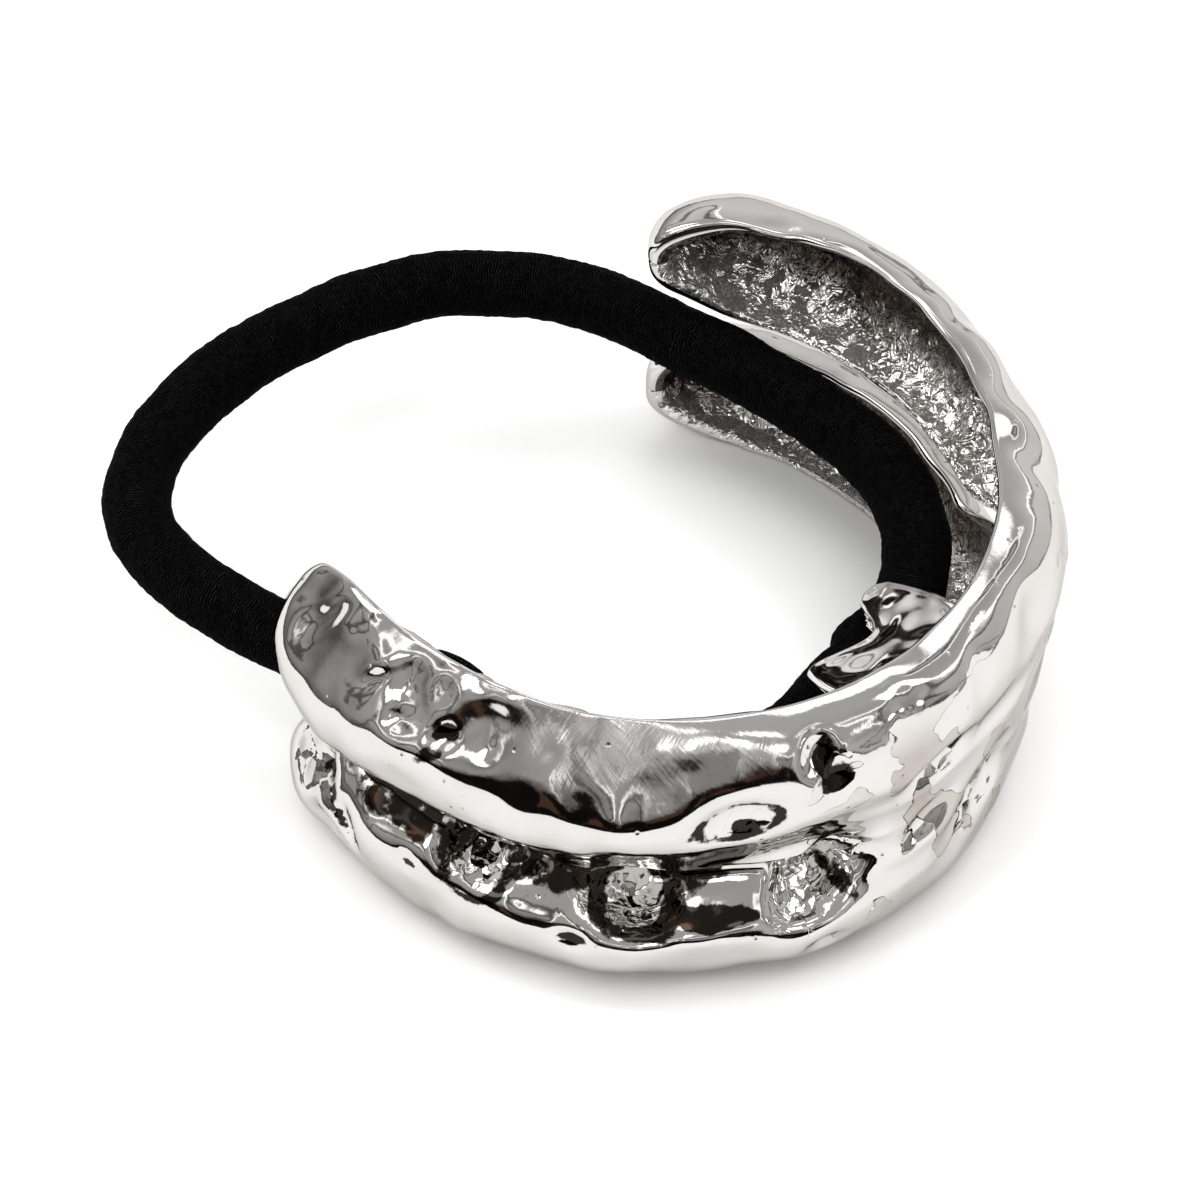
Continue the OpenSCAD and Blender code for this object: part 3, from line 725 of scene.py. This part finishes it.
def buildCuff(shape):
    end = 1 - shape["tip"] / arcHalf
    places, halfShare, depthShare, angles = cuffGrid(shape, end)
    columns, rows = len(places), 2 * len(angles)
    # a flat strip as large as the cuff unrolled, then bent round
    clearSelection()
    bpy.ops.mesh.primitive_grid_add(x_subdivisions=columns - 1, y_subdivisions=rows - 1, size=1,
                                    location=(0, 0, 0))
    cuff = bpy.context.object
    cuff.name = "cuff_metal"
    flat = readPoints(cuff)
    i = np.rint((flat[:, 0] + 0.5) * (columns - 1)).astype(int)
    j = np.rint((flat[:, 1] + 0.5) * (rows - 1)).astype(int)
    upper = j >= len(angles)
    at, angle = places[i], angles[j % len(angles)]
    points, inDent = bothBands(upper, at, halfShare[i], depthShare[i], angle)
    movePoints(cuff, points)
    # the wall is thicker at the tips
    tip = eased(np.abs(at), *shape["thick"])
    thick = shape["skin"] + (shape["tipSkin"] - shape["skin"]) * tip
    within = innerEnd(shape, at, halfShare[i], depthShare[i], angle, upper, thick, end)
    capped = eased(np.abs(at), end - shape["capWide"], end)[:, None]
    slit = np.where(places < 0, shape["slitLeft"], shape["slitRight"])
    forked = np.abs(places) > 1 - slit / shape["cover"]
    gapRow = len(angles) - 1
    cutSlits(cuff, i, j, gapRow, forked)
    mapped = np.degrees(angle) / 90 * shape["mapHigh"] + np.where(upper, 2 * shape["mapHigh"], 0)
    lengthUv(cuff, at * arcHalf, mapped)
    # waves and crumples, which fade at the edges
    edge = (j == 0) | (j == rows - 1) | (i == 0) | (i == columns - 1)
    edge = edge | ((j == gapRow) | (j == gapRow + 1)) & forked[i]
    base = readPoints(cuff)
    normals = readNormals(cuff)
    soft = rimProfile(base, base[edge], shape["edgeRound"])[0]
    strong = eased(-at, *shape["waveLeft"]) + 0.5 * eased(at, *shape["waveRight"])
    wave = sum(lumps(base, size, seed) * (plain + more * strong) for size, seed, plain, more in waves)
    grain = cracks(base, shape["grain"], shape["grainSeed"]) - shape["grainLevel"]
    wave += grain * shape["grainHeight"] * inDent
    skin = base + normals * (wave * (0.25 + 0.75 * soft))[:, None]
    movePoints(cuff, skin)
    normals = readNormals(cuff)
    # the two faces of the wall meet in a round rim
    wall = normals * thick[:, None]
    wall = wall + (points - within - wall) * capped
    full, far = rimProfile(skin, skin[edge], thick / 2)
    outer = skin - wall / 2 * (1 - full)[:, None]
    rough = sum(lumps(skin, size, seed) * tall for size, seed, tall in castLumps)
    rough *= eased(far, thick / 2, thick / 2 + shape["roughFade"] * (1 + 2 * tip))
    inner = skin - wall / 2 * (1 + full)[:, None] - normals * rough[:, None]
    for face in (outer, inner):  # nothing goes below the floor
        low = face[:, 2] < shape["lowest"]
        face[low, 2] = shape["lowest"] * np.exp(face[low, 2] / shape["lowest"] - 1)
    markCuff(cuff, at, points[:, 2], np.sin(angle), upper, inDent, far)
    cuff.data.materials.append(polishedMetal(polish))
    cuff.data.materials.append(castMetal(castSkin))
    giveWall(cuff, outer, inner, thickness=shape["skin"], material_offset=1, material_offset_rim=0)
    closeSeams(cuff, shape["seam"])
    return cuff


cuff = buildCuff(cuffShape)
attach(cuff, "root")
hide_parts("cuff")
print("cuff:", len(cuff.data.polygons), "faces")


# the tongues that grip the elastic, smoother and brighter than the bands
clampPolish = dict(polish, colour=(0.84, 0.825, 0.805), roughness=0.09, peelHeight=0.000004,
                   scratchHeight=0.000001)
clampShape = {
    "width": 0.0112, "thick": 0.0010, "sheet": 0.0006, "stand": 0.0032, "turn": -12,
    "leanLeft": 0.66, "leanRight": 0.88, "curl": 60, "grip": 0.0026, "seat": 0.0194, "heldHeight": 0.0125775,
    "rootOut": 0.0009, "rootDown": 0.0011, "rootIn": 0.0004, "across": 90, "along": 60, "mapHigh": 0.006,
    "bead": 0.00014, "beadAt": 0.0003, "beadWide": 0.00022, "dish": 0.00012, "dishEdge": (0.0005, 0.0015),
    "waveEdge": 0.0012, "seam": 0.00001,
}
# across the tongue, and how far its free end reaches there
tongueEdge = [[-1.00, 0.60], [-0.78, 0.63], [-0.56, 0.61], [-0.30, 0.57], [-0.08, 0.545], [0.06, 0.575],
              [0.17, 0.67], [0.27, 0.83], [0.38, 0.94], [0.55, 0.975], [0.75, 0.95], [1.00, 0.88]]
# size, seed and height
tongueWaves = [[0.0034, 11, 0.00018], [0.0021, 12, 0.00016]]


def tonguePoints(shape, e, v, side):
    # e runs from -1 to 1 across the tongue, v from 0 at the wall to 1 at the elastic and on round it
    half = shape["width"] / 2 / cuffShape["radius"]
    turn = math.radians(shape["turn"])
    v1 = np.minimum(v, 1)
    left, right = -1 + shape["leanLeft"] * v1 ** 2.5, 1 + shape["leanRight"] * v1
    at = turn + half * (left + (right - left) * (e + 1) / 2)
    held = np.array([shape["seat"] - shape["stand"], shape["heldHeight"]])
    if side > 0:
        top = flowing(sections, 0.0, 5) * cuffShape["height"]
        root = np.array([cuffShape["radius"] + shape["rootOut"], top - shape["rootDown"]])
        root = np.broadcast_to(root, (len(e), 2))
    else:
        place = (turn + half * e) / math.radians(cuffShape["cover"])
        wall = bandPoints(place, 1, 1, np.full(len(e), math.radians(89)), False)[0]
        root = np.stack([np.hypot(wall[:, 0], wall[:, 1]) - shape["rootIn"], wall[:, 2]], -1)
    toRoot = root - held
    far = np.hypot(toRoot[:, 0], toRoot[:, 1])
    curl = math.radians(shape["curl"]) * np.maximum(0, v - 1)
    angle = np.arctan2(toRoot[:, 1], toRoot[:, 0]) + side * (np.arccos(shape["grip"] / far) + curl)
    out = np.stack([np.cos(angle), np.sin(angle)], -1)
    near = held + shape["grip"] * out
    start = np.where(v[:, None] > 1, near, root)
    p = start + np.where(v > 1, 0, v)[:, None] * (near - start) + shape["thick"] * out
    return np.stack([p[:, 0] * np.sin(at), -p[:, 0] * np.cos(at), p[:, 1]], -1)


def buildTongue(shape, name, side, length):
    clearSelection()
    bpy.ops.mesh.primitive_grid_add(x_subdivisions=shape["across"], y_subdivisions=shape["along"], size=1,
                                    location=(0, 0, 0))
    tongue = bpy.context.object
    tongue.name = name
    flat = readPoints(tongue)
    # columns lie close together by the sides, rows by the free end
    e = flat[:, 0] * 2
    e = np.sign(e) * (1 - (1 - np.abs(e)) ** 1.3)
    share = 1 - (1 - (flat[:, 1] + 0.5)) ** 1.2
    corner = 1 - 0.10 * np.clip((np.abs(e) - 0.86) / 0.14, 0, 1) ** 2
    v = share * flowing(tongueEdge, e, 1) * length * corner
    lengthUv(tongue, flat[:, 0] * shape["width"], v * shape["mapHigh"])
    points = tonguePoints(shape, e, v, side)
    movePoints(tongue, points)
    normals = readNormals(tongue)
    held = np.array([0, -(shape["seat"] - shape["stand"]), shape["heldHeight"]])
    if ((points.mean(0) - held) @ normals.mean(0)) < 0:
        bpy.ops.object.mode_set(mode="EDIT")
        bpy.ops.mesh.select_all(action="SELECT")
        bpy.ops.mesh.flip_normals()
        bpy.ops.object.mode_set(mode="OBJECT")
        normals = readNormals(tongue)
    # a bead along the free edges, a shallow dish within it and soft waves
    free = (np.abs(flat[:, 0]) > 0.499) | (flat[:, 1] > 0.499)
    thick = shape["sheet"]
    full, far = rimProfile(points, points[free], thick / 2)
    bead = np.exp(-((far - shape["beadAt"]) / shape["beadWide"]) ** 2) * shape["bead"]
    dish = -eased(far, *shape["dishEdge"]) * shape["dish"]
    wave = sum(lumps(points, size, seed) * tall for size, seed, tall in tongueWaves)
    skin = points + normals * (bead + dish + wave * eased(far, 0, shape["waveEdge"]))[:, None]
    movePoints(tongue, skin)
    normals = readNormals(tongue)
    outer = skin - normals * (thick / 2 * (1 - full))[:, None]
    inner = skin - normals * (thick / 2 * (1 + full))[:, None]
    giveWall(tongue, outer, inner, thickness=thick)
    closeSeams(tongue, shape["seam"])
    tongue.data.materials.append(clampMetal)
    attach(tongue, "root")
    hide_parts("cuff")


clampMetal = polishedMetal(clampPolish)
buildTongue(clampShape, "clamp_upper_tongue", 1, 1.0)
buildTongue(clampShape, "clamp_lower_tongue", -1, 0.95)
print("clamp: two tongues")


# the wound ring
elasticShape = {
    "thick": 0.0046, "seat": 0.0194, "stand": 0.0032, "reach": 0.035, "ringRadius": 0.024,
    "turns": 256, "sides": 20, "steps": 1024, "finer": 2, "samples": 6001, "threads": 780, "ribs": 24,
    "ribHeight": 0.000012, "threadHeight": 0.00014,
    "bulge": 0.0007, "bulgeAt": 0.15, "bulgeWide": 0.35, "pinch": 0.0009, "pinchAt": -1.4, "pinchWide": 0.8,
    "shakeFine": 1500, "driftFine": 320, "fibreFine": 9000,
    # light is the colour of a painted sheen on the crests of the threads
    "dark": (0.0007, 0.0007, 0.0008), "light": (0.0180, 0.0180, 0.0195),
}
# size, seed and height
elasticWaves = [[0.0042, 21, 0.00010], [0.0013, 22, 0.00003], [0.00045, 23, 0.00004]]
# place along the cuff and past its ends, share of the stand, share of the reach, height share
route = [[0, 1, 0, 0.585], [0.16, 0.9, 0, 0.58], [0.33, 0.76, 0, 0.56], [0.46, 0.62, 0, 0.545],
         [0.58, 0.53, 0, 0.54], [0.7, 0.38, 0, 0.535], [0.8, 0.1, 0, 0.535], [0.88, 0, 0.07, 0.535],
         [0.95, 0, 0.17, 0.535], [1.04, 0, 0.33, 0.53], [1.18, 0, 0.5, 0.525], [1.34, 0, 0.66, 0.52],
         [1.53, 0, 0.81, 0.515], [1.75, 0, 0.91, 0.51], [-1.98, 0, 1.01, 0.51], [-1.78, 0, 1.07, 0.505],
         [-1.6, 0, 1.07, 0.495], [-1.44, 0, 0.98, 0.488], [-1.29, 0, 0.74, 0.485], [-1.15, 0, 0.48, 0.475],
         [-1.03, 0, 0.27, 0.462], [-0.93, 0, 0.05, 0.462], [-0.83, 0.4, 0, 0.552], [-0.76, 0.5, 0, 0.538],
         [-0.68, 0.38, 0, 0.55], [-0.58, 0.3, 0, 0.553], [-0.36, 0.36, 0, 0.56], [-0.23, 0.56, 0, 0.575],
         [-0.11, 1.1, 0, 0.585]]


def routeCurve(t):
    # a closed smooth curve through the rows, one row to each step of t
    rows = np.array(route)
    p = np.abs(rows[:, 0])
    cover = cuffShape["cover"]
    a = np.where(p <= 1, p * cover, cover + (p - 1) * (180 - cover))
    a = np.radians(np.where(rows[:, 0] < 0, -a, a))
    out = elasticShape["seat"] - elasticShape["stand"] * rows[:, 1]
    out = out + (elasticShape["reach"] - elasticShape["seat"]) * rows[:, 2]
    points = np.stack([out * np.sin(a), -out * np.cos(a), rows[:, 3] * cuffShape["height"]], -1)
    i = np.floor(t).astype(int)
    a, b, c, d = [points[(i + k) % len(rows)] for k in (-1, 0, 1, 2)]
    return cubic(a, b, c, d, (t - i)[:, None])


def buildElastic(shape):
    # a plain ring, then led along its route
    clearSelection()
    bpy.ops.mesh.primitive_torus_add(major_segments=shape["turns"], minor_segments=shape["sides"],
                                     major_radius=shape["ringRadius"], minor_radius=shape["thick"] / 2,
                                     location=(0, 0, 0))
    ring = bpy.context.object
    ring.name = "elastic_ring"
    applyModifier(ring, "SUBSURF", subdivision_type="SIMPLE", levels=shape["finer"],
                  render_levels=shape["finer"])
    flat = readPoints(ring)
    around = np.arctan2(flat[:, 1], flat[:, 0]) / (2 * math.pi) % 1
    step = np.rint(around * shape["steps"]).astype(int) % shape["steps"]
    q = np.arctan2(flat[:, 2], np.hypot(flat[:, 0], flat[:, 1]) - shape["ringRadius"])
    # steps of even length along the route
    t = np.linspace(0, len(route), shape["samples"])
    run = np.concatenate([[0], np.cumsum(np.linalg.norm(np.diff(routeCurve(t), axis=0), axis=1))])
    share = np.arange(shape["steps"]) / shape["steps"]
    even = np.interp(share * run[-1], run, t)
    at = routeCurve(even)
    way = routeCurve(even + 0.02) - routeCurve(even - 0.02)
    way /= np.linalg.norm(way, axis=1)[:, None]
    across = np.cross(way, (0, 0, 1))
    across /= np.linalg.norm(across, axis=1)[:, None]
    over = np.cross(across, way)
    out = np.cos(q)[:, None] * across[step] + np.sin(q)[:, None] * over[step]
    radius = shape["thick"] / 2
    points = at[step] + radius * out
    # the inner side bulges at the clamp and is pinched beside it, at these rows of the route
    inwards = -(out[:, 0] * points[:, 0] + out[:, 1] * points[:, 1]) / np.hypot(points[:, 0], points[:, 1])
    place = (even[step] + 14) % len(route) - 14
    squeeze = shape["bulge"] * np.exp(-((place - shape["bulgeAt"]) / shape["bulgeWide"]) ** 2)
    squeeze = squeeze - shape["pinch"] * np.exp(-((place - shape["pinchAt"]) / shape["pinchWide"]) ** 2)
    radius = radius + squeeze * np.clip(inwards, 0, 1)
    radius = radius + sum(lumps(points, size, seed) * tall for size, seed, tall in elasticWaves)
    radius = radius + np.cos(q * shape["ribs"]) * shape["ribHeight"]
    movePoints(ring, at[step] + out * radius[:, None])
    bpy.ops.object.mode_set(mode="EDIT")
    bpy.ops.mesh.select_all(action="SELECT")
    bpy.ops.mesh.normals_make_consistent(inside=False)
    bpy.ops.object.mode_set(mode="OBJECT")
    bpy.ops.object.shade_smooth()
    print("elastic:", round(run[-1] * 1000, 1), "mm round")
    return ring


def woundThread(shape):
    material, tools, shader = startMaterial("woundThread", {"Roughness": 0.7, "Specular IOR Level": 0.006})
    place = tools.node("ShaderNodeTexCoord", out=3)
    u = tools.node("ShaderNodeSeparateXYZ", {}, {0: tools.node("ShaderNodeTexCoord", out=2)})
    v = u.also(1)
    shake, drift, fibre = [place.cloudy(shape[name], 2.0) for name in ("shakeFine", "driftFine", "fibreFine")]
    # threads run round the ring, between ribs along it
    zig = tools.node("ShaderNodeMath", {"operation": "PINGPONG"}, {0: v * shape["ribs"], 1: 0.5})
    phase = u * shape["threads"] + v * 3 + zig * 0.9 + (shake - 0.5) * 1.5 + (drift - 0.5) * 5.0
    thread = tools.node("ShaderNodeMath", {"operation": "SINE"}, {0: phase * 2 * math.pi}) * 0.5 + 0.5
    height = thread * 0.75 + fibre * 0.4 + zig * 0.5
    # painted sheen: the crests of the threads are lighter, in patches
    shown = thread ** 3 * (shake.between(0.25, 0.60) * 0.6 + 0.4) * fibre.between(0.32, 0.64)
    feed(tools, shader, Base_Color=shown.mixColour(shape["dark"], shape["light"]),
         Normal=height.bump(shape["threadHeight"]))
    return material


# loose ends of thread
fuzzLook = {"thin": 0.000014, "point": 0.3, "short": 0.00015, "long": 0.00042, "count": 1800, "seed": 5}


def buildFuzz(ring, look):
    # each end is a fine three-sided point that leans away from the ring
    points, normals = readPoints(ring), readNormals(ring)
    chance = np.random.default_rng(look["seed"])
    clearSelection()
    bpy.ops.mesh.primitive_cone_add(vertices=3, radius1=look["thin"], radius2=look["thin"] * look["point"],
                                    depth=1, location=(0, 0, 0.5))
    single = bpy.context.object
    ends = readPoints(single) + (0, 0, 0.5)
    copies = []
    for k in chance.integers(0, len(points), look["count"]):
        fibre = single.copy()
        fibre.data = single.data.copy()
        fibre.location = (0, 0, 0)
        out = Vector(normals[k])
        way = Vector(chance.normal(size=3)).cross(out).normalized() + out * chance.uniform(0.1, 0.7)
        turned = np.array(way.to_track_quat("Z", "Y").to_matrix())
        long = chance.uniform(look["short"], look["long"])
        movePoints(fibre, (ends * (1, 1, long)) @ turned.T + points[k] - normals[k] * look["thin"])
        bpy.context.collection.objects.link(fibre)
        copies.append(fibre)
    bpy.data.objects.remove(single)
    clearSelection()
    for fibre in copies:
        fibre.select_set(True)
    bpy.context.view_layer.objects.active = copies[0]
    bpy.ops.object.join()
    fuzz = bpy.context.object
    fuzz.name = "elastic_fuzz"
    return fuzz


elastic = buildElastic(elasticShape)
elastic.data.materials.append(woundThread(elasticShape))
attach(elastic, "root")
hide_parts("elastic_band")
fuzz = buildFuzz(elastic, fuzzLook)
fuzz.data.materials.append(elastic.data.materials[0])
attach(fuzz, "root")
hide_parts("elastic_band")
print("elastic ring:", len(elastic.data.polygons), "faces")
